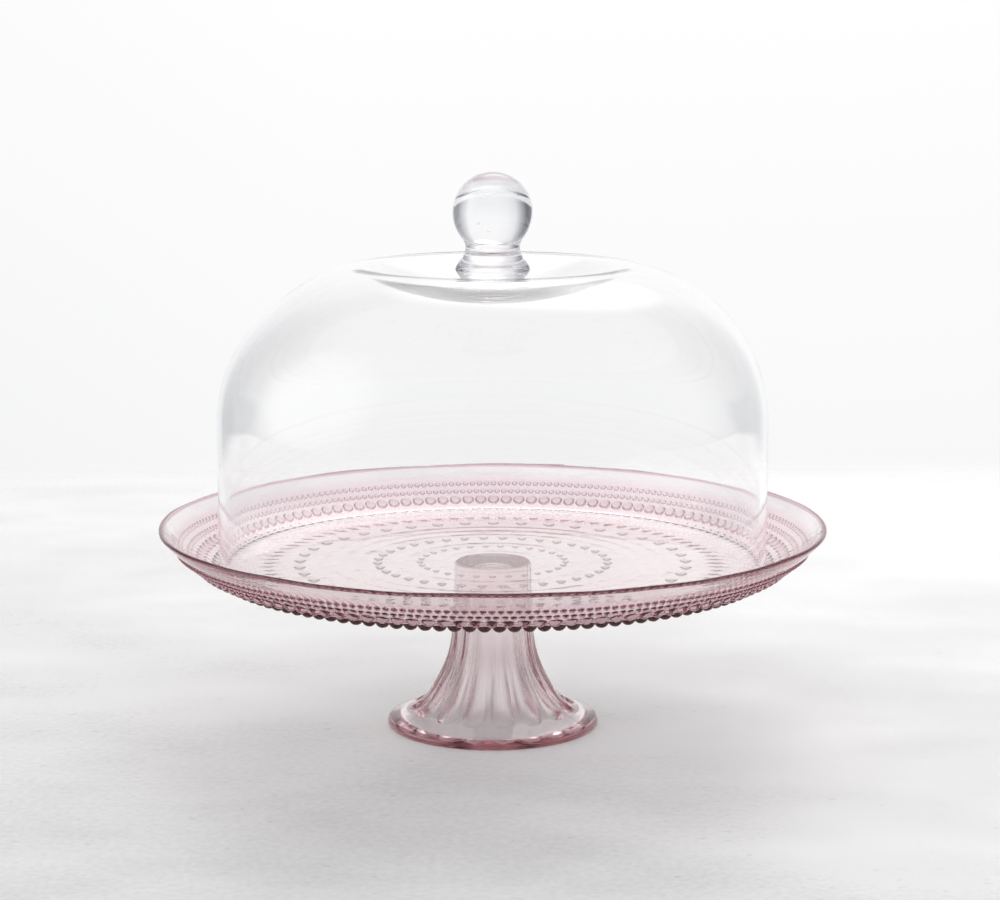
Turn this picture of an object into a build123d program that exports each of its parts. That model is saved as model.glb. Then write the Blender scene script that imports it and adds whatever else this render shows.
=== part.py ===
from build123d import *
import os
from math import acos, asin, atan2, cos, degrees, hypot, pi, radians, sin, sqrt

# Footed glass cake stand with a lift-off glass dome. Lengths are in millimetres.
# The origin is the centre of the foot's underside, and +Z is up.

# Plate: a flat floor, a knee, and a wall that flares out to a rounded lip.
UNDERSIDE_Z = 74.0
FLOOR_THICKNESS = 3.6
FLOOR_Z = UNDERSIDE_Z + FLOOR_THICKNESS
KNEE_START_R = 119.0
KNEE_RADIUS = 22.0
KNEE_TURN = 25.0
WALL_THICKNESS = 2.5
WALL_RADIUS = 74.0
WALL_END_R = 152.3
LIP_RADIUS = 1.0

# Bead rows under the plate: radius at the glass, width and height of the beads. Each row is
# modelled as one continuous rounded rib, the space that its beads fill.
BEAD_ROWS = [
    (33.5, 3.2, 1.0),
    (53.0, 4.4, 1.3),
    (89.0, 5.6, 1.7),
    (103.0, 5.0, 1.5),
    (127.2, 6.0, 2.0),
    (134.6, 6.0, 2.0),
    (139.9, 3.0, 1.2),
    (144.2, 3.0, 1.2),
]
RIB_ROOT = 0.4

# Pedestal: a trumpet-shaped stem on a round flange, fluted outside and hollow below.
FLANGE_R = 48.8
FLANGE_EDGE = 4.4
FLANGE_LOW_CORNER = 1.2
FLANGE_TOP_CORNER = 2.8
FLANGE_SLOPE = 22.7
STEM_OUTLINE = [(37.0, 8.4), (27.1, 19.2), (20.8, 33.0), (18.3, 50.0), (17.6, 73.6)]
STEM_TOP_Z = STEM_OUTLINE[-1][1]
HOLLOW_OUTLINE = [(40.0, 0.0), (27.0, 9.5), (15.0, 23.0), (10.2, 40.0), (9.2, 55.0)]
FLUTE_COUNT = 16
FLUTE_FIRST = 278.0
FLUTE_DEPTH = 0.55
FLUTE_TOP_DEPTH = 0.22
FLUTE_WIDTH = 0.86
FLUTE_STATIONS = [78.0, 62.0, 48.0, 36.0, 26.0, 18.5, 13.5, 11.0]

# Bond: the clear adhesive disc that holds the plate on the pedestal.
BOND_R = 16.8

# Dome: a straight wall, a wide round shoulder, a soft crest and a dished top.
DOME_R = 125.4
DOME_WALL = 3.0
DOME_RIM_CORNER = 1.2
SHOULDER_Z = 143.0
SHOULDER_RADIUS = 71.6
CREST_R = 63.0
CREST_RADIUS = 22.0
DISH_BOTTOM_Z = 201.5
DISH_THICKNESS = 4.0

# Knob: a solid ball on a waisted stem, fused to the bottom of the dome's dish.
BALL_RADIUS = 18.2
BALL_Z = 237.3
NECK_R = 13.6
NECK_Z = 217.5
COLLAR_R = 16.9
COLLAR_Z = 211.0
WAIST_R = 14.2
WAIST_Z = 206.4
FOOT_R = 17.0


def revolved(outline):
    return revolve(Plane.XZ * make_face(outline), Axis.Z)


# Plate ---------------------------------------------------------------------

KNEE_CENTRE = (KNEE_START_R, UNDERSIDE_Z + KNEE_RADIUS)
KNEE_END_R = KNEE_START_R + KNEE_RADIUS * sin(radians(KNEE_TURN))
KNEE_END_Z = KNEE_CENTRE[1] - KNEE_RADIUS * cos(radians(KNEE_TURN))
WALL_TURN = degrees(asin(sin(radians(KNEE_TURN)) + (WALL_END_R - KNEE_END_R) / WALL_RADIUS))


def underside(r):
    """Height and slope in degrees of the plate's outside, without beads, at radius r."""
    if r <= KNEE_START_R:
        return UNDERSIDE_Z, 0.0
    if r <= KNEE_END_R:
        slope = asin((r - KNEE_START_R) / KNEE_RADIUS)
        return KNEE_CENTRE[1] - KNEE_RADIUS * cos(slope), degrees(slope)
    slope = asin(sin(radians(KNEE_TURN)) + (r - KNEE_END_R) / WALL_RADIUS)
    rise = WALL_RADIUS * (cos(radians(KNEE_TURN)) - cos(slope))
    return KNEE_END_Z + rise, degrees(slope)


def plate_outline():
    inner_knee = KNEE_RADIUS - WALL_THICKNESS
    floor_slope = acos((KNEE_CENTRE[1] - FLOOR_Z) / inner_knee)
    floor_end = KNEE_START_R + inner_knee * sin(floor_slope)
    turn = radians(KNEE_TURN)
    inner_knee_end = (KNEE_START_R + inner_knee * sin(turn), KNEE_CENTRE[1] - inner_knee * cos(turn))

    bottom = Line((0, UNDERSIDE_Z), (KNEE_START_R, UNDERSIDE_Z))
    knee = JernArc(bottom @ 1, (1, 0), KNEE_RADIUS, KNEE_TURN)
    wall = JernArc(knee @ 1, knee % 1, WALL_RADIUS, WALL_TURN - KNEE_TURN)
    lip = JernArc(wall @ 1, wall % 1, LIP_RADIUS, 180)
    inside = TangentArc(inner_knee_end, lip @ 1, tangent=(cos(turn), sin(turn)))
    corner = RadiusArc((floor_end, FLOOR_Z), inner_knee_end, -inner_knee)
    floor = Line((floor_end, FLOOR_Z), (0, FLOOR_Z))
    axis = Line((0, FLOOR_Z), (0, UNDERSIDE_Z))
    return [bottom, knee, wall, lip, inside, corner, floor, axis]


def bead_rib(r, width, height):
    """A ring of rounded section that stands out of the underside, with its root in the glass."""
    z, degrees_up = underside(r)
    slope = radians(degrees_up)
    along = Vector(cos(slope), sin(slope)) * (width / 2)
    outward = Vector(sin(slope), -cos(slope))
    seat = Vector(r, z)
    root = seat - outward * RIB_ROOT
    crown = ThreePointArc(root - along, seat + outward * height, root + along)
    return revolved([crown, Line(root + along, root - along)])


def make_plate():
    return revolved(plate_outline()) + [bead_rib(*row) for row in BEAD_ROWS]


# Pedestal ------------------------------------------------------------------


def stem_curve():
    slope = radians(FLANGE_SLOPE)
    return Spline(STEM_OUTLINE, tangents=[(-cos(slope), sin(slope)), (0, 1)])


def pedestal_outline():
    stem = stem_curve()
    mouth = HOLLOW_OUTLINE[0]
    crown_r, crown_z = HOLLOW_OUTLINE[-1]
    base = Line(mouth, (FLANGE_R - FLANGE_LOW_CORNER, 0))
    low = JernArc(base @ 1, (1, 0), FLANGE_LOW_CORNER, 90)
    edge = Line(low @ 1, (FLANGE_R, FLANGE_EDGE - FLANGE_TOP_CORNER))
    high = JernArc(edge @ 1, (0, 1), FLANGE_TOP_CORNER, 90 - FLANGE_SLOPE)
    slope = Line(high @ 1, stem @ 0)
    top = Line(stem @ 1, (0, STEM_TOP_Z))
    axis = Line((0, STEM_TOP_Z), (0, crown_z + crown_r))
    crown = RadiusArc((0, crown_z + crown_r), (crown_r, crown_z), crown_r)
    hollow = Spline(HOLLOW_OUTLINE, tangents=[(-0.9, 0.5), (0, 1)])
    return [base, low, edge, high, slope, stem, top, axis, crown, hollow]


def stem_radius(curve, z):
    """Point and outward normal of the stem's outline at height z, held straight above its top."""
    if z >= STEM_TOP_Z:
        return curve @ 1 + Vector(0, z - STEM_TOP_Z), Vector(1, 0)
    low, high = 0.0, 1.0
    for _ in range(30):
        middle = (low + high) / 2
        low, high = (middle, high) if (curve @ middle).Y < z else (low, middle)
    along = curve % low
    return curve @ low, Vector(along.Y, -along.X)


def flute_depth(z):
    """Depth of a flute over half its width, which grows evenly from the stem's top to the heel."""
    share = (STEM_TOP_Z - z) / (STEM_TOP_Z - FLUTE_STATIONS[-1])
    return FLUTE_TOP_DEPTH + (FLUTE_DEPTH - FLUTE_TOP_DEPTH) * share


def flute_cutters():
    """A tapering round-bottomed channel that follows the stem, and the round heel it ends in."""
    curve = stem_curve()
    rings = []
    for z in FLUTE_STATIONS:
        point, normal = stem_radius(curve, z)
        half = FLUTE_WIDTH * pi * point.X / FLUTE_COUNT
        depth = flute_depth(z) * half
        radius = (half**2 + depth**2) / (2 * depth)
        centre = point + normal * (radius - depth)
        middle = Vector(centre.X, 0, centre.Y)
        along = Vector(-normal.Y, 0, normal.X)
        rings.append((middle, along, radius))
    faces = [Plane(origin=m, x_dir=(0, 1, 0), z_dir=t) * Circle(r) for m, t, r in rings]
    middle, _, radius = rings[-1]
    return [loft(faces), Pos(*middle) * Sphere(radius)]


def make_pedestal():
    body = revolved(pedestal_outline())
    cutters = flute_cutters()
    step = 360 / FLUTE_COUNT
    for i in range(FLUTE_COUNT):
        body -= [Rot(0, 0, FLUTE_FIRST + i * step) * cutter for cutter in cutters]
    return body


# Bond ----------------------------------------------------------------------


def make_bond():
    thickness = UNDERSIDE_Z - STEM_TOP_Z
    return Pos(0, 0, STEM_TOP_Z + thickness / 2) * Cylinder(BOND_R, thickness)


# Dome ----------------------------------------------------------------------

SHOULDER_CENTRE = (DOME_R - SHOULDER_RADIUS, SHOULDER_Z)
CREST_Z = SHOULDER_Z + CREST_RADIUS + sqrt(
    (SHOULDER_RADIUS - CREST_RADIUS) ** 2 - (CREST_R - SHOULDER_CENTRE[0]) ** 2
)
CREST_CENTRE = (CREST_R, CREST_Z - CREST_RADIUS)
DISH_DEPTH = CREST_Z - DISH_BOTTOM_Z
DISH_RADIUS = (CREST_R**2 + DISH_DEPTH**2) / (2 * DISH_DEPTH) - CREST_RADIUS
DISH_CENTRE = (0.0, DISH_BOTTOM_Z + DISH_RADIUS)
SEAT_Z = DISH_CENTRE[1] - sqrt(DISH_RADIUS**2 - FOOT_R**2)


def toward(start, end, length):
    """The point at this length from start, in the direction of end."""
    reach = hypot(end[0] - start[0], end[1] - start[1])
    return tuple(a + (b - a) * length / reach for a, b in zip(start, end))


def angle_of(start, end):
    return degrees(atan2(end[1] - start[1], end[0] - start[0]))


def dome_outline():
    corner = DOME_RIM_CORNER
    inner_r = DOME_R - DOME_WALL
    over_shoulder = angle_of(SHOULDER_CENTRE, CREST_CENTRE)
    over_crest = angle_of(CREST_CENTRE, DISH_CENTRE) - over_shoulder
    seat_edge = (FOOT_R, SEAT_Z)
    crest_end = toward(CREST_CENTRE, DISH_CENTRE, CREST_RADIUS)
    inner_dish_z = DISH_BOTTOM_Z - DISH_THICKNESS
    inner_crest = CREST_RADIUS - DOME_WALL
    inner_crest_start = toward(CREST_CENTRE, crest_end, inner_crest)

    rim = Line((inner_r + corner, FLOOR_Z), (DOME_R - corner, FLOOR_Z))
    rim_out = JernArc(rim @ 1, (1, 0), corner, 90)
    wall = Line(rim_out @ 1, (DOME_R, SHOULDER_Z))
    shoulder = JernArc(wall @ 1, (0, 1), SHOULDER_RADIUS, over_shoulder)
    crest = JernArc(shoulder @ 1, shoulder % 1, CREST_RADIUS, over_crest)
    dish = RadiusArc(crest_end, seat_edge, -DISH_RADIUS)
    seat = Line(seat_edge, (0, SEAT_Z))
    axis = Line((0, SEAT_Z), (0, inner_dish_z))
    under_dish = TangentArc((0, inner_dish_z), inner_crest_start, tangent=(1, 0))
    rim_in = JernArc(rim @ 0, (-1, 0), corner, -90)
    inner_wall = Line(rim_in @ 1, (inner_r, SHOULDER_Z))
    inner_shoulder = JernArc(inner_wall @ 1, (0, 1), SHOULDER_RADIUS - DOME_WALL, over_shoulder)
    inner_over = JernArc(inner_shoulder @ 1, inner_shoulder % 1, inner_crest, over_crest)
    outside = [rim, rim_out, wall, shoulder, crest, dish, seat, axis]
    return outside + [under_dish, inner_over, inner_shoulder, inner_wall, rim_in]


def make_dome():
    return revolved(dome_outline())


# Knob ----------------------------------------------------------------------


def make_knob():
    ball_start = (NECK_R, BALL_Z - sqrt(BALL_RADIUS**2 - NECK_R**2))
    ball_top = (0, BALL_Z + BALL_RADIUS)
    foot = Line((0, SEAT_Z), (FOOT_R, SEAT_Z))
    stem = Spline(
        (FOOT_R, SEAT_Z), (WAIST_R, WAIST_Z), (COLLAR_R, COLLAR_Z), (NECK_R, NECK_Z), ball_start
    )
    ball = ThreePointArc(ball_start, (BALL_RADIUS, BALL_Z), ball_top)
    axis = Line(ball_top, (0, SEAT_Z))
    return revolved([foot, stem, ball, axis])


os.makedirs("parts", exist_ok=True)
for name, make in [
    ("plate", make_plate),
    ("pedestal", make_pedestal),
    ("bond", make_bond),
    ("dome", make_dome),
    ("knob", make_knob),
]:
    export_step(make(), f"parts/{name}.step")
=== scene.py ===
from math import acos, asin, atan2, cos, hypot, pi, radians, sin, sqrt

import bpy
import numpy as np
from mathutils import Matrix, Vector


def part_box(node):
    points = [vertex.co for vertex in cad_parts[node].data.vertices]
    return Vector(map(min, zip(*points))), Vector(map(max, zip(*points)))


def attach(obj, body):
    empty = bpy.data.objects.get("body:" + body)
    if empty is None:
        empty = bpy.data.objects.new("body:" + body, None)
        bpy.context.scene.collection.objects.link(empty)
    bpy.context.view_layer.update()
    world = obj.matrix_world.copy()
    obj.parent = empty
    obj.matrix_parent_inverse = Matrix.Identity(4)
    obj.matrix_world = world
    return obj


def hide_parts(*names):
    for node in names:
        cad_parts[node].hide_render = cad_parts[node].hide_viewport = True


# Footed pink pressed-glass cake stand with a lift-off clear glass dome. Lengths are in metres.
# Each glass piece is one closed mesh, so that light bends and darkens in it as it does in glass.
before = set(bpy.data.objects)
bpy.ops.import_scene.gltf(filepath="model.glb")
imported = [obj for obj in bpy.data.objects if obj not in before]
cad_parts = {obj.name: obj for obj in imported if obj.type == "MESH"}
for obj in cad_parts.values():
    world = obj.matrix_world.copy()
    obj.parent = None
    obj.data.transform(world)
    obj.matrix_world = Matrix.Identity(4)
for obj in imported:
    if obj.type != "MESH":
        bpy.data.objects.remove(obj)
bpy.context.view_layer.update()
plate_low, plate_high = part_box("plate")
pedestal_low, pedestal_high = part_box("pedestal")
bond_low, bond_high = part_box("bond")
dome_low, dome_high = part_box("dome")
knob_low, knob_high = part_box("knob")
MM = 0.001

# Plate: a flat floor, a knee and a wall that flares out to a rounded lip.
UNDERSIDE_Z = bond_high.z
FLOOR_Z = dome_low.z
KNEE_START_R = 119.0 * MM
KNEE_RADIUS = 22.0 * MM
KNEE_TURN = radians(25.0)
WALL_THICKNESS = 2.5 * MM
WALL_RADIUS = 74.0 * MM
WALL_END_R = 152.3 * MM
LIP_RADIUS = 1.0 * MM
# The fire-polished lip is a little uneven: waves round it, strength and start of each.
LIP_WAVE = 0.35 * MM
LIP_WAVES = [(7, 1.0, 0.6), (12, 0.7, 2.1), (23, 0.5, 4.0)]

# Bead rows under the plate: radius, width, height, beads, first bead's place as a share of the
# pitch from -Y, cuts along a bead, rings across half of one, and softness of its foot.
BEAD_ROWS = [
    (33.5 * MM, 3.2 * MM, 1.0 * MM, 29, 0.0, 8, 4, 0.8),
    (53.0 * MM, 4.4 * MM, 1.3 * MM, 36, 0.5, 10, 4, 0.8),
    (89.0 * MM, 5.6 * MM, 1.3 * MM, 40, 0.0, 10, 5, 0.9),
    (103.0 * MM, 4.4 * MM, 0.6 * MM, 80, 0.5, 9, 5, 1.6),
    (127.2 * MM, 5.9 * MM, 2.0 * MM, 128, 0.5, 8, 5, 0.66),
    (134.6 * MM, 5.9 * MM, 2.0 * MM, 128, 0.0, 8, 5, 0.75),
    (139.9 * MM, 3.0 * MM, 1.2 * MM, 246, 0.5, 6, 3, 0.8),
    (144.2 * MM, 3.0 * MM, 1.2 * MM, 246, 0.0, 6, 3, 0.8),
]
# A bead's sides stop short of its ends by this share, so that no cut across it has no width.
BEAD_ROUND = 0.97
# Longest steps along the gaps between beads, and across the plain glass between rows.
GAP_STEP = 2.5 * MM
PLAIN_STEP = 5.0 * MM
PLAIN_START = 4.0 * MM
# Low smooth waves in the underside between the bead rows: radius, width and height.
RIDGES = [
    (24.0 * MM, 9.0 * MM, 0.05 * MM),
    (42.0 * MM, 9.0 * MM, 0.07 * MM),
    (62.5 * MM, 8.0 * MM, 0.07 * MM),
    (71.5 * MM, 8.0 * MM, 0.07 * MM),
    (80.5 * MM, 8.0 * MM, 0.07 * MM),
]

# Pedestal: a trumpet-shaped stem on a round flange, fluted outside and hollow below.
FLANGE_R = pedestal_high.x
FLANGE_EDGE = 4.4 * MM
FLANGE_LOW_CORNER = 1.2 * MM
FLANGE_TOP_CORNER = 2.8 * MM
FLANGE_SLOPE = radians(22.7)
STEM_TOP_Z = pedestal_high.z
STEM_OUTLINE = [(37.0, 8.4), (27.1, 19.2), (20.8, 33.0), (18.3, 50.0), (17.6, STEM_TOP_Z / MM)]
HOLLOW_OUTLINE = [(40.0, 0.0), (27.0, 9.5), (15.0, 23.0), (10.2, 40.0), (9.2, 55.0)]
MOUTH_ROUNDING = 3.0 * MM
FLUTE_COUNT = 16
FLUTE_FIRST = radians(8.0)
FLUTE_DEPTH = 0.55
FLUTE_TOP_DEPTH = 0.22
FLUTE_WIDTH = 0.86
FLUTE_HEEL_Z = 11.0 * MM
FLUTE_CUTS = 22
HEEL_REACH = 3.0 * MM
HEEL_DETAIL = 18.0 * MM
STEM_BEVEL = 0.3 * MM
FLUTE_EDGE = 0.3 * MM
FLUTE_TOP_EDGE = 1.1 * MM

# Dome: a straight wall, a wide round shoulder, a soft crest and a dished top.
DOME_R = 125.4 * MM
DOME_WALL = 3.0 * MM
DOME_RIM_CORNER = 1.2 * MM
SHOULDER_Z = 143.0 * MM
SHOULDER_RADIUS = 71.6 * MM
CREST_R = 63.0 * MM
CREST_RADIUS = 22.0 * MM
DISH_BOTTOM_Z = 201.5 * MM
DISH_THICKNESS = 4.0 * MM
# The shoulder's sunken side: how far it has sunk, and where up the shoulder's turn and how wide.
SLUMP = 2.4 * MM
SLUMP_MIDDLE = radians(50)
SLUMP_SPREAD = radians(24)

# Knob: a solid ball on a waisted stem, fused to the bottom of the dome's dish.
BALL_RADIUS = 18.2 * MM
BALL_Z = knob_high.z - BALL_RADIUS
NECK_R = 13.6 * MM
KNOB_OUTLINE = [(17.0, knob_low.z / MM), (14.2, 206.4), (16.9, 211.0), (13.6, 217.5)]
BUBBLES = [(-1.5, -6.0, 231.0), (0.2, -7.0, 226.5), (10.5, -9.0, 245.0), (-4.0, 3.0, 234.0)]
BUBBLE_RADIUS = 0.35 * MM

# Fused pieces reach this far into each other, so that no film of air lies between them.
FUSED = 0.06 * MM
# Pieces that only rest on each other stay this far apart.
RESTING = 0.04 * MM
SMOOTH_SEGMENTS = 256


# Curves in the (radius, height) plane --------------------------------------


def arc(centre, radius, start, end, steps):
    """Points along an arc from one angle to another, both ends included."""
    angles = np.linspace(start, end, steps + 1)
    return np.add(centre, radius * np.column_stack([np.cos(angles), np.sin(angles)]))


def line(start, end, steps):
    return np.linspace(start, end, steps + 1)


def tangent_arc(start, slope, end, steps):
    """Points along the arc that leaves start at this slope and reaches end."""
    chord = np.subtract(end, start)
    normal = np.array([-sin(slope), cos(slope)])
    radius = chord @ chord / (2 * (chord @ normal))
    centre = np.array(start) + normal * radius
    first = atan2(start[1] - centre[1], start[0] - centre[0])
    last = atan2(end[1] - centre[1], end[0] - centre[0])
    return arc(centre, abs(radius), first, last, steps)


def spline(points, leaving, arriving, steps):
    """Points along a smooth curve through these, with its directions at the two ends."""
    p = np.array(points, float)
    gaps = np.hypot(*np.diff(p, axis=0).T)
    count = len(p)
    matrix = np.eye(count)
    wanted = np.zeros((count, 2))
    wanted[0] = np.array(leaving) / hypot(*leaving)
    wanted[-1] = np.array(arriving) / hypot(*arriving)
    for i in range(1, count - 1):
        before, after = gaps[i - 1], gaps[i]
        matrix[i, i - 1 : i + 2] = 1 / before, 2 / before + 2 / after, 1 / after
        wanted[i] = 3 * ((p[i] - p[i - 1]) / before**2 + (p[i + 1] - p[i]) / after**2)
    slopes = np.linalg.solve(matrix, wanted)
    t = np.linspace(0, 1, steps, endpoint=False)[:, None]
    spans = [
        (2 * t**3 - 3 * t**2 + 1) * p[i]
        + (t**3 - 2 * t**2 + t) * gaps[i] * slopes[i]
        + (3 * t**2 - 2 * t**3) * p[i + 1]
        + (t**3 - t**2) * gaps[i] * slopes[i + 1]
        for i in range(count - 1)
    ]
    return np.vstack([*spans, p[-1:]])


def joined(*stretches):
    """Stretches of outline in a row, each starting where the one before it ends."""
    return np.vstack([stretches[0], *[s[1:] for s in stretches[1:]]])


# Rings and meshes ----------------------------------------------------------
# A ring is (turns, radii, heights): a closed loop of points round the axis. A turn of 0 is towards
# -Y, and turns grow towards +X.


def circle(r, z, segments=SMOOTH_SEGMENTS):
    turns = np.arange(segments) * 2 * pi / segments
    return turns, np.full(segments, r), np.full(segments, z)


def bridge(a, b, start_a, start_b):
    """Faces between two rings, which may have different numbers of points."""
    turns_a, turns_b = a[0], b[0]
    count_a, count_b = len(turns_a), len(turns_b)
    if count_a == count_b and np.allclose(turns_a, turns_b):
        k = np.arange(count_a)
        after = (k + 1) % count_a
        corners = [start_a + k, start_a + after, start_b + after, start_b + k]
        return np.column_stack(corners).tolist()
    round_a = np.append(turns_a, turns_a[0] + 2 * pi)
    round_b = np.append(turns_b, turns_b[0] + 2 * pi)
    faces = []
    i = j = 0
    while i < count_a or j < count_b:
        here_a, here_b = start_a + i % count_a, start_b + j % count_b
        if j == count_b or (i < count_a and round_a[i + 1] <= round_b[j + 1]):
            faces.append([here_a, start_a + (i + 1) % count_a, here_b])
            i += 1
        else:
            faces.append([here_a, start_b + (j + 1) % count_b, here_b])
            j += 1
    return faces


def closed_mesh(rings, first_z, last_z):
    """Points and faces of a solid: a pole at first_z, the rings in order, and a pole at last_z."""
    points = [np.array([[0, 0, first_z]])]
    starts = []
    total = 1
    for turns, r, z in rings:
        points.append(np.column_stack([r * np.sin(turns), -r * np.cos(turns), z]))
        starts.append(total)
        total += len(turns)
    points.append(np.array([[0, 0, last_z]]))
    faces = []
    first, last = len(rings[0][0]), len(rings[-1][0])
    faces += [[0, starts[0] + (k + 1) % first, starts[0] + k] for k in range(first)]
    for n in range(len(rings) - 1):
        faces += bridge(rings[n], rings[n + 1], starts[n], starts[n + 1])
    faces += [[total, starts[-1] + k, starts[-1] + (k + 1) % last] for k in range(last)]
    return np.vstack(points), faces


def add_piece(name, points, faces, material, body, sharp=radians(32)):
    """A smooth-shaded mesh object that rides on a body and stands for the CAD node of its name."""
    mesh = bpy.data.meshes.new(name)
    mesh.from_pydata(points.tolist(), [], faces)
    mesh.polygons.foreach_set("use_smooth", [True] * len(mesh.polygons))
    mesh.set_sharp_from_angle(angle=sharp)
    mesh.materials.append(material)
    piece = bpy.data.objects.new(f"{name}_glass", mesh)
    bpy.context.scene.collection.objects.link(piece)
    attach(piece, body)
    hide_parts(name)
    return piece


# Plate ---------------------------------------------------------------------

KNEE_CENTRE = (KNEE_START_R, UNDERSIDE_Z + KNEE_RADIUS)
KNEE_END_R = KNEE_START_R + KNEE_RADIUS * sin(KNEE_TURN)
KNEE_END_Z = KNEE_CENTRE[1] - KNEE_RADIUS * cos(KNEE_TURN)
WALL_TURN = asin(sin(KNEE_TURN) + (WALL_END_R - KNEE_END_R) / WALL_RADIUS)
WALL_CENTRE = (KNEE_END_R - WALL_RADIUS * sin(KNEE_TURN), KNEE_END_Z + WALL_RADIUS * cos(KNEE_TURN))
KNEE_LENGTH = KNEE_RADIUS * KNEE_TURN
WALL_LENGTH = WALL_RADIUS * (WALL_TURN - KNEE_TURN)
UNDERSIDE_LENGTH = KNEE_START_R + KNEE_LENGTH + WALL_LENGTH


def underside(along):
    """Radius, height and slope of the underside, without beads, at these lengths from the axis."""
    along = np.asarray(along, float)
    on_knee = np.clip(along - KNEE_START_R, 0, KNEE_LENGTH)
    on_wall = np.clip(along - KNEE_START_R - KNEE_LENGTH, 0, None)
    slope = on_knee / KNEE_RADIUS + on_wall / WALL_RADIUS
    flat_r = np.minimum(along, KNEE_START_R)
    knee_slope = on_knee / KNEE_RADIUS
    r = flat_r + KNEE_RADIUS * np.sin(knee_slope)
    z = UNDERSIDE_Z + KNEE_RADIUS * (1 - np.cos(knee_slope))
    walled = on_wall > 0
    r = np.where(walled, WALL_CENTRE[0] + WALL_RADIUS * np.sin(slope), r)
    z = np.where(walled, WALL_CENTRE[1] - WALL_RADIUS * np.cos(slope), z)
    return r, z, slope


def length_at(r):
    """Length along the underside, from the axis, of the place at radius r."""
    if r <= KNEE_START_R:
        return r
    if r <= KNEE_END_R:
        return KNEE_START_R + KNEE_RADIUS * asin((r - KNEE_START_R) / KNEE_RADIUS)
    slope = asin(sin(KNEE_TURN) + (r - KNEE_END_R) / WALL_RADIUS)
    return KNEE_START_R + KNEE_LENGTH + WALL_RADIUS * (slope - KNEE_TURN)


def raised(turns, along, height):
    """The ring that stands this high out of the underside at these turns and lengths."""
    r, z, slope = underside(along)
    return turns, r + height * np.sin(slope), z - height * np.cos(slope)


def bead_row(r, width, height, beads, first, cuts, half_rings, softness):
    """Rings across one row of separate half-round beads, each set on the plain underside."""
    pitch = 2 * pi / beads
    filled = min(1.0, width / (pitch * r))
    round_bead = np.sin(np.linspace(-pi / 2, pi / 2, cuts + 1))
    spare = int((1 - filled) * pitch * r / GAP_STEP)
    gap = np.linspace(1, 2 / filled - 1, spare + 2)[1:-1]
    place = np.concatenate([round_bead, gap])
    turns = ((np.arange(beads) + first)[:, None] * pitch + place * filled * pitch / 2).ravel()
    inside = np.tile(np.clip(place, -1, 1), beads)
    half_width = width / 2 * np.sqrt(1 - BEAD_ROUND * inside**2)
    crown = height * (1 - inside**2) ** softness
    middle = length_at(r)
    across = np.sin(np.linspace(-pi / 2, pi / 2, 2 * half_rings + 1))
    shares = np.clip(1 - across**2, 0, 1) ** softness
    return [raised(turns, middle + x * half_width, crown * s) for x, s in zip(across, shares)]


def ridge_row(r, width, height):
    """Rings across one low smooth wave of the underside."""
    offsets = np.linspace(-1, 1, 7)
    crown = height * (0.5 + 0.5 * np.cos(pi * offsets))
    rings = [circle(r + x * width / 2, h) for x, h in zip(offsets, crown)]
    return [raised(*ring) for ring in rings]


def wavy(ring):
    """A ring near the lip with the small unevenness of the fire-polished edge."""
    turns, r, z = ring
    share = np.clip((z - KNEE_END_Z) / (plate_high.z - KNEE_END_Z), 0, 1) ** 2
    wave = sum(strength * np.sin(count * turns + start) for count, strength, start in LIP_WAVES)
    strongest = sum(strength for _, strength, _ in LIP_WAVES)
    return turns, r, z + LIP_WAVE * share * wave / strongest


def underside_rings():
    """Rings from the axis out to the lip: bead rows, ridges and plain glass between them."""
    rows = [(length_at(row[0]), row[1] / 2, bead_row(*row)) for row in BEAD_ROWS]
    rows += [(length_at(row[0]), row[1] / 2, ridge_row(*row)) for row in RIDGES]
    rows.sort(key=lambda row: row[0])
    rings = []
    done = PLAIN_START
    for middle, half, row in rows + [(UNDERSIDE_LENGTH, 0, [])]:
        gap = middle - half - done
        if gap > 1.5 * MM:
            segments = len(rings[-1][0]) if rings and gap < 3 * MM else SMOOTH_SEGMENTS
            for step in np.linspace(0, gap, max(2, int(gap / PLAIN_STEP) + 2))[1:-1]:
                r, z, _ = underside(done + step)
                rings.append(circle(float(r), float(z), segments))
        rings += row
        done = middle + half
    return rings


def lip_and_inside():
    """The rounded lip, the inner wall, the inner knee and the floor's edge."""
    end_r, end_z, slope = (float(v) for v in underside(UNDERSIDE_LENGTH))
    inward = (-sin(slope), cos(slope))
    lip_centre = (end_r + inward[0] * LIP_RADIUS, end_z + inward[1] * LIP_RADIUS)
    lip = arc(lip_centre, LIP_RADIUS, slope - pi / 2, slope + pi / 2, 14)
    inner_knee = KNEE_RADIUS - WALL_THICKNESS
    floor_slope = acos((KNEE_CENTRE[1] - FLOOR_Z) / inner_knee)
    knee = arc(KNEE_CENTRE, inner_knee, KNEE_TURN - pi / 2, floor_slope - pi / 2, 5)
    wall = tangent_arc(knee[0], KNEE_TURN, lip[-1], 26)[::-1]
    return joined(lip, wall, knee)


def plate_mesh():
    """Rings out along the underside, over the lip and back in to the middle of the floor."""
    rings = underside_rings()
    rings += [circle(r, z) for r, z in lip_and_inside()]
    rings = [wavy(ring) for ring in rings]
    floor_edge = rings[-1][1][0]
    rings += [circle(r, FLOOR_Z) for r in np.linspace(floor_edge, 0, 14)[1:-1]]
    return closed_mesh(rings, UNDERSIDE_Z, FLOOR_Z)


# Pedestal ------------------------------------------------------------------


def heel_end():
    """The place on the flange's slope where the round heels of the flutes run out."""
    r, z = np.array(STEM_OUTLINE[0]) * MM
    return r + HEEL_REACH * cos(FLANGE_SLOPE), z - HEEL_REACH * sin(FLANGE_SLOPE)


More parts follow.
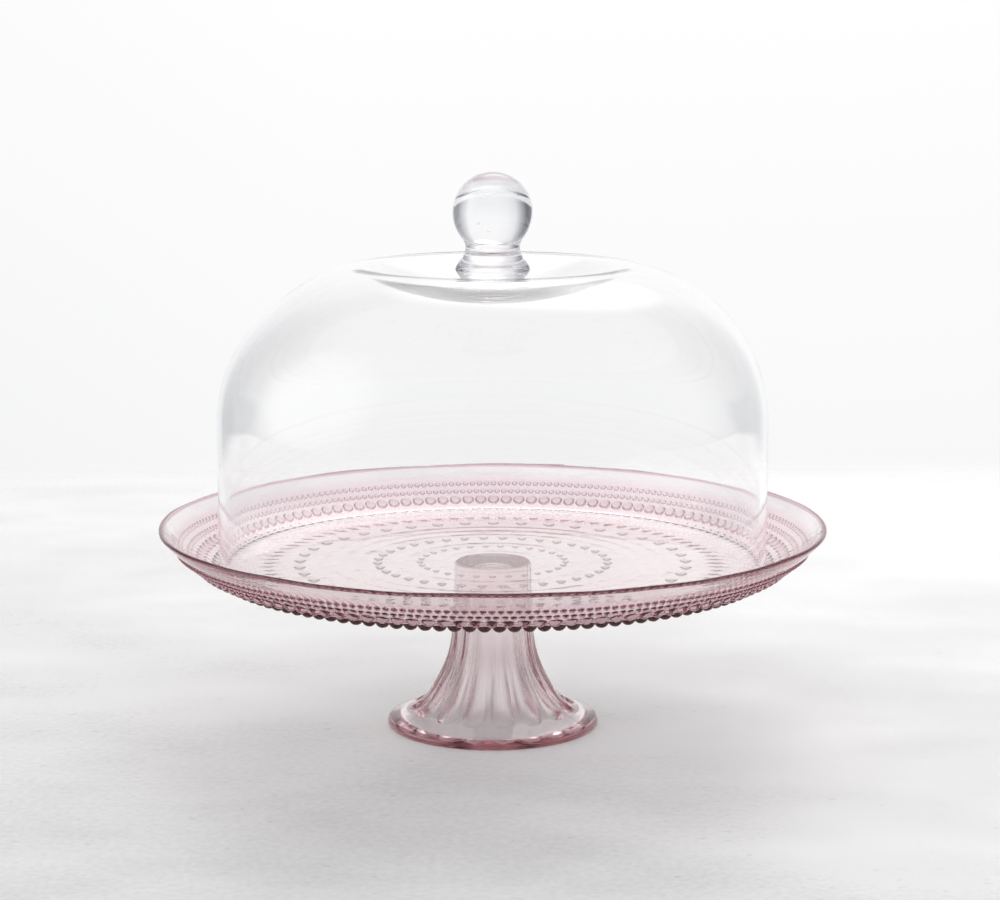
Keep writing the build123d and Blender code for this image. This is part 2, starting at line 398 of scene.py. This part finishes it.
def stem_points():
    """The stem's outline from the flange to the top, with the outward normal at each point."""
    uphill = (-cos(FLANGE_SLOPE), sin(FLANGE_SLOPE))
    fine = spline(np.array(STEM_OUTLINE) * MM, uphill, (0, 1), 60)
    fine = np.vstack([heel_end(), fine])
    length = np.append(0, np.cumsum(np.hypot(*np.diff(fine, axis=0).T)))
    by_heels = np.arange(0, HEEL_DETAIL, 0.5 * MM)
    wanted = np.concatenate([by_heels, np.linspace(HEEL_DETAIL, length[-1], 40)])
    r, z = (np.interp(wanted, length, fine[:, i]) for i in (0, 1))
    along_r, along_z = np.gradient(r, wanted), np.gradient(z, wanted)
    scale = np.hypot(along_r, along_z)
    return r, z, along_z / scale, -along_r / scale


def soft_max(value, edge):
    """value where it is above 0, and 0 elsewhere, with a rounded change between them."""
    return 0.5 * (value + np.sqrt(value**2 + edge**2)) - 0.5 * edge * np.exp(-((value / edge) ** 2))


def channel_size(r, z):
    """Depth, radius and edge rounding of a flute, which is deepest and crispest at its heel."""
    half = FLUTE_WIDTH * pi * r / FLUTE_COUNT
    share = (STEM_TOP_Z - z) / (STEM_TOP_Z - FLUTE_HEEL_Z)
    worn = 0.35 + 0.65 * share**2.5
    depth = (FLUTE_TOP_DEPTH + (FLUTE_DEPTH - FLUTE_TOP_DEPTH) * share) * half * worn
    edge = FLUTE_TOP_EDGE + (FLUTE_EDGE - FLUTE_TOP_EDGE) * share
    radius = (half**2 + depth**2) / (2 * depth)
    return depth, radius, edge


def fluted_rings():
    """Rings up the stem. A round-bottomed channel is cut in along each flute, with a round heel."""
    pitch = 2 * pi / FLUTE_COUNT
    offset = (np.arange(FLUTE_CUTS) / FLUTE_CUTS - 0.5) * pitch
    turns = (np.arange(FLUTE_COUNT)[:, None] * pitch + FLUTE_FIRST + offset).ravel()
    r, z, normal_r, normal_z = stem_points()
    heel = int(np.argmin(np.abs(z - FLUTE_HEEL_Z)))
    facing = np.array([np.cos(offset), np.sin(offset), np.ones(FLUTE_CUTS)])
    rings = []
    for i in range(len(r)):
        at = max(i, heel)
        depth, radius, edge = channel_size(r[at], z[at])
        out = radius - depth
        centre = np.array([[r[at] + normal_r[at] * out], [0], [z[at] + normal_z[at] * out]])
        outward = facing * np.array([[normal_r[i]], [normal_r[i]], [normal_z[i]]])
        away = facing * np.array([[r[i]], [r[i]], [z[i]]]) - centre
        inward = outward
        if i > heel:
            along = np.array([[-normal_z[i]], [0], [normal_r[i]]])
            away = away - along * (away * along).sum(0)
            inward = outward - along * (outward * along).sum(0)
        size = (inward**2).sum(0)
        reach = (away * inward).sum(0)
        within = reach**2 - size * ((away**2).sum(0) - radius**2)
        cut = (reach + np.sqrt(np.clip(within, 0, None))) / size
        cut = np.where(within > 0, cut, np.minimum(cut, 0))
        cut = np.tile(soft_max(cut, edge), FLUTE_COUNT)
        rings.append((turns, r[i] - normal_r[i] * cut, z[i] - normal_z[i] * cut))
    return rings


def pedestal_mesh():
    """Rings from the hollow's crown out of its mouth, round the flange and up the stem."""
    crown_r, crown_z = np.array(HOLLOW_OUTLINE[-1]) * MM
    crown = arc((0, crown_z), crown_r, pi / 2, 0, 12)[1:]
    hollow = spline(np.array(HOLLOW_OUTLINE) * MM, (-0.9, 0.5), (0, 1), 14)[::-1]
    mouth = hollow[-1]
    hollow = hollow[np.hypot(*(hollow - mouth).T) > MOUTH_ROUNDING]
    t = np.linspace(0, 1, 10)[:, None]
    ring_start = mouth + (MOUTH_ROUNDING, 0)
    rounding = (1 - t) ** 2 * hollow[-1] + 2 * t * (1 - t) * mouth + t**2 * ring_start
    low_corner, top_corner = FLANGE_LOW_CORNER, FLANGE_TOP_CORNER
    base = line(ring_start, (FLANGE_R - low_corner, 0), 3)
    low = arc((FLANGE_R - low_corner, low_corner), low_corner, -pi / 2, 0, 6)
    top_centre = (FLANGE_R - top_corner, FLANGE_EDGE - top_corner)
    high = arc(top_centre, top_corner, 0, pi / 2 - FLANGE_SLOPE, 10)
    slope = line(high[-1], heel_end(), 7)
    side = line(low[-1], high[0], 3)
    lower = joined(crown, hollow, rounding, base, low, side, high, slope)[:-1]
    flutes = fluted_rings()
    turns = flutes[0][0]
    rings = [(turns, np.full(len(turns), r), np.full(len(turns), z)) for r, z in lower]
    rings += flutes[:-1]
    top_turns, top_r, top_z = flutes[-1]
    rings.append((top_turns, top_r, top_z - STEM_BEVEL))
    rings.append((top_turns, top_r - STEM_BEVEL, top_z))
    rings += [(top_turns, top_r * share, top_z) for share in (0.8, 0.5, 0.2)]
    return closed_mesh(rings, crown_z + crown_r, STEM_TOP_Z)


# Bond ----------------------------------------------------------------------


def bond_mesh():
    """A thin clear disc whose edge bulges a little where the adhesive was squeezed out."""
    middle_z = (bond_low.z + bond_high.z) / 2
    half = (bond_high.z - bond_low.z) / 2 + FUSED
    edge = arc((bond_high.x - half, middle_z), half, -pi / 2, pi / 2, 8)
    inner = [(r, bond_low.z - FUSED) for r in (4 * MM, 8 * MM, 12 * MM, 15 * MM)]
    outline = inner + edge.tolist() + [(r, bond_high.z + FUSED) for r, _ in reversed(inner)]
    rings = [circle(r, z, 128) for r, z in outline]
    return closed_mesh(rings, bond_low.z - FUSED, bond_high.z + FUSED)


# Dome ----------------------------------------------------------------------


def toward(start, end, length):
    """The point at this length from start, in the direction of end."""
    reach = hypot(end[0] - start[0], end[1] - start[1])
    return tuple(a + (b - a) * length / reach for a, b in zip(start, end))


def angle_of(start, end):
    return atan2(end[1] - start[1], end[0] - start[0])


def dome_outline():
    """The dome's section, from the axis under the dish, round the rim, to the axis on top."""
    shoulder = (DOME_R - SHOULDER_RADIUS, SHOULDER_Z)
    crest_rise = sqrt((SHOULDER_RADIUS - CREST_RADIUS) ** 2 - (CREST_R - shoulder[0]) ** 2)
    crest = (CREST_R, SHOULDER_Z + crest_rise)
    dish_depth = crest[1] + CREST_RADIUS - DISH_BOTTOM_Z
    dish_radius = (CREST_R**2 + dish_depth**2) / (2 * dish_depth) - CREST_RADIUS
    dish = (0.0, DISH_BOTTOM_Z + dish_radius)
    over_shoulder = angle_of(shoulder, crest)
    over_crest = angle_of(crest, dish)
    dish_start = angle_of(dish, crest)
    crest_end = toward(crest, dish, CREST_RADIUS)
    inner_crest_end = toward(crest, crest_end, CREST_RADIUS - DOME_WALL)

    corner = DOME_RIM_CORNER
    inner_r = DOME_R - DOME_WALL
    rim_z = FLOOR_Z + RESTING
    under_dish = tangent_arc((0, DISH_BOTTOM_Z - DISH_THICKNESS), 0, inner_crest_end, 30)[1:]
    inner_crest = arc(crest, CREST_RADIUS - DOME_WALL, over_crest, over_shoulder, 14)
    inner_shoulder = arc(shoulder, SHOULDER_RADIUS - DOME_WALL, over_shoulder, 0, 40)
    rim_in = arc((inner_r + corner, rim_z + corner), corner, -pi, -pi / 2, 6)
    rim_out = arc((DOME_R - corner, rim_z + corner), corner, -pi / 2, 0, 6)
    outer_shoulder = arc(shoulder, SHOULDER_RADIUS, 0, over_shoulder, 44)
    outer_crest = arc(crest, CREST_RADIUS, over_shoulder, over_crest, 16)
    outer_dish = arc(dish, dish_radius, dish_start, -pi / 2, 30)[:-1]
    return joined(
        under_dish,
        inner_crest,
        inner_shoulder,
        line(inner_shoulder[-1], rim_in[0], 14),
        rim_in,
        line(rim_in[-1], rim_out[0], 1),
        rim_out,
        line(rim_out[-1], outer_shoulder[0], 14),
        outer_shoulder,
        outer_crest,
        outer_dish,
    )


def slumped(ring):
    """The blown dome isn't quite even: its shoulder has sunk a little on the -X side."""
    turns, r, z = ring
    centre_r = DOME_R - SHOULDER_RADIUS
    rise = np.arctan2(z - SHOULDER_Z, np.maximum(r - centre_r, 1 * MM))
    share = np.exp(-(((rise - SLUMP_MIDDLE) / SLUMP_SPREAD) ** 2))
    share *= np.clip(-np.sin(turns), 0, 1) ** 2
    share = np.where(z > SHOULDER_Z - 20 * MM, share, 0)
    return turns, r - SLUMP * share * np.cos(rise), z - SLUMP * share * np.sin(rise)


def dome_mesh():
    rings = [slumped(circle(r, z)) for r, z in dome_outline()]
    return closed_mesh(rings, DISH_BOTTOM_Z - DISH_THICKNESS, DISH_BOTTOM_Z)


# Knob ----------------------------------------------------------------------


def bubble(centre):
    """Points and faces of a small air bubble, facing into the air."""
    x, y, z = (value * MM for value in centre)
    rings = [
        circle(BUBBLE_RADIUS * sin(angle), BUBBLE_RADIUS * -cos(angle), 12)
        for angle in np.linspace(0, pi, 9)[1:-1]
    ]
    points, faces = closed_mesh(rings, -BUBBLE_RADIUS, BUBBLE_RADIUS)
    return points + [x, y, z], [face[::-1] for face in faces]


def knob_mesh():
    """The foot, the waisted stem and the ball, with a few small air bubbles inside."""
    low = -acos(NECK_R / BALL_RADIUS)
    ball = arc((0, BALL_Z), BALL_RADIUS, low, pi / 2, 48)
    stem = spline(
        [*np.array(KNOB_OUTLINE) * MM, ball[0]], (-0.75, 0.66), (-sin(low), cos(low)), 12
    )
    foot = line((3 * MM, knob_low.z - FUSED), (stem[0][0], knob_low.z - FUSED), 5)
    outline = np.vstack([foot, stem, ball[1:-1]])
    rings = [circle(r, z, 160) for r, z in outline]
    points, faces = closed_mesh(rings, knob_low.z - FUSED, knob_high.z)
    for centre in BUBBLES:
        more, more_faces = bubble(centre)
        faces += [[i + len(points) for i in face] for face in more_faces]
        points = np.vstack([points, more])
    return points, faces


# Materials -----------------------------------------------------------------

# Tints of the surface where the glass's colour gathers, and roughness of the hollow's inside.
PLAIN_TINT = (1.0, 1.0, 1.0, 1.0)
BEAD_TINT = (0.95, 0.85, 0.88, 1.0)
LIP_TINT = (0.62, 0.38, 0.44, 1.0)
FOOT_TINT = (0.74, 0.46, 0.50, 1.0)
HOLLOW_FROST = 0.30


class Nodes:
    """Short calls that add nodes to one material or world."""

    def __init__(self, owner):
        owner.use_nodes = True
        self.tree = owner.node_tree
        self.tree.nodes.clear()

    def add(self, kind, values=None, **settings):
        node = self.tree.nodes.new(kind)
        for name, value in settings.items():
            setattr(node, name, value)
        for name, value in (values or {}).items():
            socket = node.inputs[name]
            if isinstance(value, bpy.types.NodeSocket):
                self.tree.links.new(value, socket)
            else:
                socket.default_value = value
        return node

    def math(self, operation, a, b=0.0):
        return self.add("ShaderNodeMath", {0: a, 1: b}, operation=operation).outputs[0]

    def noise(self, vector, scale, detail=3.0):
        values = {"Vector": vector, "Scale": scale, "Detail": detail}
        return self.add("ShaderNodeTexNoise", values).outputs["Fac"]

    def spread(self, value, low, high, to_low, to_high, smooth=False):
        values = {0: value, 1: low, 2: high, 3: to_low, 4: to_high}
        kind = "SMOOTHSTEP" if smooth else "LINEAR"
        return self.add("ShaderNodeMapRange", values, interpolation_type=kind).outputs[0]

    def scaled_place(self, scale):
        place = self.add("ShaderNodeTexCoord").outputs["Object"]
        return self.add("ShaderNodeMapping", {"Vector": place, "Scale": scale}).outputs[0]

    def blend(self, share, first, second):
        node = self.add("ShaderNodeMix", data_type="RGBA")
        for socket, value in zip((0, 6, 7), (share, first, second)):
            if isinstance(value, bpy.types.NodeSocket):
                self.tree.links.new(value, node.inputs[socket])
            else:
                node.inputs[socket].default_value = value
        return node.outputs[2]


def glass(
    nodes, tint, density, ripple_scale, ripple_height, smudge,
    surface=PLAIN_TINT, ior=1.5, frost=0.0,
):
    """Glass that darkens with depth, and whose surface ripples and smudges a little."""
    ripples = nodes.noise(nodes.scaled_place(ripple_scale), 1.0, 2.0)
    fine = nodes.noise(nodes.scaled_place((900.0, 900.0, 900.0)), 1.0, 2.0)
    height = nodes.math("ADD", ripples, nodes.math("MULTIPLY", fine, 0.015))
    bump = nodes.add(
        "ShaderNodeBump", {"Strength": 1.0, "Distance": ripple_height, "Height": height}
    ).outputs[0]
    marks = nodes.noise(nodes.scaled_place((45.0, 45.0, 45.0)), 1.0, 6.0)
    smudges = nodes.spread(marks, 0.45, 0.75, 0.0, smudge)
    roughness = nodes.math("MAXIMUM", smudges, frost)
    body = nodes.add(
        "ShaderNodeBsdfPrincipled",
        {
            "Base Color": surface,
            "Roughness": roughness,
            "IOR": ior,
            "Transmission Weight": 1.0,
            "Normal": bump,
        },
    )
    depth = nodes.add("ShaderNodeVolumeAbsorption", {"Color": (*tint, 1.0), "Density": density})
    nodes.add(
        "ShaderNodeOutputMaterial", {"Surface": body.outputs[0], "Volume": depth.outputs[0]}
    )


def distance_and_height(nodes):
    """Distance from the axis, and height, of a point on the surface."""
    place = nodes.add("ShaderNodeTexCoord").outputs["Object"]
    level = nodes.add(
        "ShaderNodeVectorMath", {0: place, 1: (1.0, 1.0, 0.0)}, operation="MULTIPLY"
    ).outputs["Vector"]
    distance = nodes.add("ShaderNodeVectorMath", {0: level}, operation="LENGTH").outputs["Value"]
    return distance, nodes.add("ShaderNodeSeparateXYZ", {0: place}).outputs["Z"]


def plate_colour(nodes):
    """The pressed plate's colour gathers in its outer bead rows, and most of all in its lip."""
    r, z = distance_and_height(nodes)
    outside = nodes.spread(r, 122 * MM, 125 * MM, 0.0, 1.0, True)
    inside = nodes.spread(r, 145 * MM, 148 * MM, 1.0, 0.0, True)
    in_beads = nodes.math("MULTIPLY", outside, inside)
    in_lip = nodes.spread(z, plate_high.z - 1.5 * MM, plate_high.z - 0.8 * MM, 0.0, 1.0, True)
    gathered = nodes.blend(in_beads, PLAIN_TINT, BEAD_TINT)
    return nodes.blend(in_lip, gathered, LIP_TINT)


def foot_colour(nodes):
    """The pedestal's colour gathers round the edge of its flange."""
    r, _ = distance_and_height(nodes)
    in_edge = nodes.spread(r, FLANGE_R - 5 * MM, FLANGE_R - 0.5 * MM, 0.0, 1.0, True)
    return nodes.blend(in_edge, PLAIN_TINT, FOOT_TINT)


def hollow_frost(nodes):
    """The mould leaves the inside of the pedestal's hollow less bright than its outside."""
    r, z = distance_and_height(nodes)
    widest = nodes.spread(z, 6 * MM, 22 * MM, 33 * MM, 16 * MM)
    within = nodes.math("LESS_THAN", r, widest)
    below_top = nodes.math("LESS_THAN", z, STEM_TOP_Z - 10 * MM)
    in_hollow = nodes.math("MULTIPLY", within, below_top)
    return nodes.math("MULTIPLY", in_hollow, HOLLOW_FROST)


def new_material(name):
    material = bpy.data.materials.new(name)
    return material, Nodes(material)


def make_materials():
    """One glass for each piece: its tint and depth of colour, its ripples and its smudges."""
    plate, nodes = new_material("pink_plate")
    pressed = (60.0, 60.0, 260.0)
    glass(nodes, (0.70, 0.20, 0.27), 42.0, pressed, 0.10 * MM, 0.02, plate_colour(nodes))
    pedestal, nodes = new_material("pink_pedestal")
    colour, frost = foot_colour(nodes), hollow_frost(nodes)
    pressed = (40.0, 40.0, 60.0)
    glass(nodes, (0.60, 0.20, 0.25), 19.0, pressed, 0.06 * MM, 0.02, colour, frost=frost)
    dome, nodes = new_material("clear_dome")
    glass(nodes, (0.55, 0.70, 0.85), 3.0, (14.0, 14.0, 30.0), 0.03 * MM, 0.006, ior=1.45)
    knob, nodes = new_material("clear_knob")
    glass(nodes, (0.50, 0.55, 0.75), 1.5, (60.0, 60.0, 90.0), 0.02 * MM, 0.004)
    bond, nodes = new_material("clear_bond")
    glass(nodes, (0.90, 0.85, 0.80), 10.0, (300.0, 300.0, 300.0), 0.01 * MM, 0.05)
    return {"plate": plate, "pedestal": pedestal, "dome": dome, "knob": knob, "bond": bond}


# Studio --------------------------------------------------------------------

TABLE_DEPTH = 0.63
TABLE_WIDTH = 1.3
EDGE_BLUR = 0.10
FLOOR_HALF = 1.6
# The floor lies this far under the foot, so that no face of one lies in a face of the other.
FLOOR_GAP = 0.15 * MM
# The stone glows a little in its own shade: painted light that lifts the shadows on it.
STONE_GLOW = 0.34
# A painted shadow on the stone: darker in front of the foot and a little to the left.
PAINTED_SHADOW_CENTRE = (-0.02, -0.17, 0.0)
# The room's brightness by the angle from +Y, in degrees, positive towards +X.
ROOM_LIGHT = [
    (-180, 0.50),
    (-125, 0.56),
    (-82, 0.60),
    (-64, 0.16),
    (-46, 0.16),
    (-35, 0.45),
    (-25, 0.84),
    (-15, 0.96),
    (-4, 1.00),
    (7, 1.00),
    (26, 0.99),
    (34, 0.72),
    (47, 0.40),
    (64, 0.34),
    (85, 0.74),
    (120, 0.60),
    (180, 0.50),
]
CEILING_LIGHT = 0.68
# Soft light sources: direction, half angle, blur of the edge, and brightness added.
KEY = ((0.10, 0.66, 0.745), radians(15), radians(8), 1.5)
WINDOW = ((-0.95, -0.08, 0.30), radians(25), radians(11), 0.8)


def floor_material():
    """Pale honed stone: soft clouds, grain and small pits, with painted light and shade. It fades
    out at the table's edge.
    """
    material, nodes = new_material("pale_stone")
    place = nodes.add("ShaderNodeTexCoord").outputs["Object"]
    axes = nodes.add("ShaderNodeSeparateXYZ", {0: place})
    clouds = nodes.noise(nodes.scaled_place((9.0, 14.0, 9.0)), 1.0, 7.0)
    grain = nodes.noise(place, 320.0, 4.0)
    pits = nodes.noise(nodes.scaled_place((150.0, 230.0, 150.0)), 1.0, 2.0)
    tone = nodes.spread(clouds, 0.3, 0.7, -0.06, 0.06)
    tone = nodes.math("ADD", tone, nodes.spread(grain, 0.3, 0.7, -0.035, 0.035))
    tone = nodes.math("SUBTRACT", tone, nodes.spread(pits, 0.66, 0.74, 0.0, 0.08))
    # Painted light fall-off: the stone is painted darker towards the front (-Y) and towards -X.
    away = nodes.spread(axes.outputs["Y"], -0.35, 0.60, 0.0, 1.0)
    right = nodes.spread(axes.outputs["X"], -0.30, 0.30, -0.055, 0.055)
    light = nodes.math("ADD", nodes.spread(away, 0.0, 1.0, 0.68, 0.87), right)
    # Painted shadow: the stone is painted darker near this point in front of the foot.
    from_painted_shadow = nodes.add(
        "ShaderNodeVectorMath", {0: place, 1: PAINTED_SHADOW_CENTRE}, operation="DISTANCE"
    ).outputs["Value"]
    light = nodes.math("ADD", light, nodes.spread(from_painted_shadow, 0.0, 0.2, -0.07, 0.0, True))
    value = nodes.math("ADD", tone, light)
    green = nodes.math("MULTIPLY", value, 0.99)
    blue = nodes.math("MULTIPLY", value, 0.985)
    shade = nodes.add("ShaderNodeCombineXYZ", {0: value, 1: green, 2: blue})
    bump = nodes.add("ShaderNodeBump", {"Strength": 0.25, "Distance": 0.3 * MM, "Height": tone})
    # The emission below is painted light: a glow that lifts the stone's shadows.
    stone = nodes.add(
        "ShaderNodeBsdfPrincipled",
        {
            "Base Color": shade.outputs[0],
            "Roughness": 0.6,
            "Normal": bump.outputs[0],
            "Emission Color": shade.outputs[0],
            "Emission Strength": STONE_GLOW,
        },
    )
    deep = nodes.math("ABSOLUTE", axes.outputs["Y"])
    wide = nodes.math("ABSOLUTE", axes.outputs["X"])
    deep = nodes.spread(deep, TABLE_DEPTH - EDGE_BLUR, TABLE_DEPTH + EDGE_BLUR, 0.0, 1.0, True)
    wide = nodes.spread(wide, TABLE_WIDTH - EDGE_BLUR, TABLE_WIDTH + EDGE_BLUR, 0.0, 1.0, True)
    gone = nodes.math("MAXIMUM", deep, wide)
    clear = nodes.add("ShaderNodeBsdfTransparent")
    surface = nodes.add(
        "ShaderNodeMixShader", {0: gone, 1: stone.outputs[0], 2: clear.outputs[0]}
    )
    nodes.add("ShaderNodeOutputMaterial", {"Surface": surface.outputs[0]})
    return material


def add_floor():
    mesh = bpy.data.meshes.new("floor")
    z = pedestal_low.z - FLOOR_GAP
    corners = [(-1, -1), (1, -1), (1, 1), (-1, 1)]
    points = [(x * FLOOR_HALF, y * FLOOR_HALF, z) for x, y in corners]
    mesh.from_pydata(points, [], [(0, 1, 2, 3)])
    mesh.materials.append(floor_material())
    floor = bpy.data.objects.new("floor", mesh)
    bpy.context.scene.collection.objects.link(floor)


def add_world():
    """A white screen behind, grey sides, a dim front, a pale ceiling and two soft light sources."""
    world = bpy.data.worlds.new("studio")
    bpy.context.scene.world = world
    nodes = Nodes(world)
    direction = nodes.add("ShaderNodeTexCoord").outputs["Generated"]
    axes = nodes.add("ShaderNodeSeparateXYZ", {0: direction})
    x, y, z = (axes.outputs[name] for name in "XYZ")
    aside = nodes.spread(nodes.math("ARCTAN2", x, y), -pi, pi, 0.0, 1.0)
    ramp = nodes.add("ShaderNodeValToRGB", {0: aside})
    stops = ramp.color_ramp.elements
    stops.remove(stops[1])
    for place, (angle, light) in enumerate(ROOM_LIGHT):
        stop = stops[0] if place == 0 else stops.new(0.5 + angle / 360)
        stop.position = 0.5 + angle / 360
        stop.color = (light, light, light, 1.0)
    low = nodes.spread(z, -0.22, 0.0, 0.93, 1.0)
    room = nodes.math("MULTIPLY", ramp.outputs[0], low)
    ceiling = nodes.spread(z, 0.40, 0.80, 0.0, 1.0, True)
    room = nodes.add("ShaderNodeMix", {0: ceiling, 2: room, 3: CEILING_LIGHT}).outputs[0]
    for toward_light, half_angle, blur, strength in (KEY, WINDOW):
        facing = nodes.add(
            "ShaderNodeVectorMath", {0: direction, 1: toward_light}, operation="DOT_PRODUCT"
        ).outputs["Value"]
        edge = (cos(half_angle + blur), cos(half_angle - blur))
        room = nodes.math("ADD", room, nodes.spread(facing, *edge, 0.0, strength, True))
    shade = nodes.blend(room, (0.90, 0.92, 1.0, 1.0), (1.0, 1.0, 1.0, 1.0))
    background = nodes.add("ShaderNodeBackground", {"Color": shade, "Strength": room})
    nodes.add("ShaderNodeOutputWorld", {"Surface": background.outputs[0]})


def add_camera():
    """The camera stands a little above the plate's height and looks down at 9.72 degrees."""
    lens = bpy.data.cameras.new("camera")
    lens.lens = 95.5
    lens.sensor_width = 36.0
    camera = bpy.data.objects.new("camera", lens)
    camera.location = (0.0033, -1.197, 0.3336)
    camera.rotation_euler = (radians(90 - 9.72), 0, 0)
    bpy.context.scene.collection.objects.link(camera)
    bpy.context.scene.camera = camera


def set_light_paths():
    """Enough bounces for light to pass through every wall of glass."""
    scene = bpy.context.scene
    scene.view_settings.view_transform = "Standard"
    scene.cycles.max_bounces = 32
    scene.cycles.transmission_bounces = 32
    scene.cycles.glossy_bounces = 12
    scene.cycles.transparent_max_bounces = 16


materials = make_materials()
BUILDERS = [
    ("plate", plate_mesh, "stand", "pink_glass"),
    ("pedestal", pedestal_mesh, "stand", "pink_glass"),
    ("bond", bond_mesh, "stand", "clear_bond"),
    ("dome", dome_mesh, "cover", "clear_glass"),
    ("knob", knob_mesh, "cover", "clear_glass"),
]
for node, build, body, slot in BUILDERS:
    points, faces = build()
    add_piece(node, points, faces, materials[node], body)

add_floor()
add_world()
add_camera()
set_light_paths()
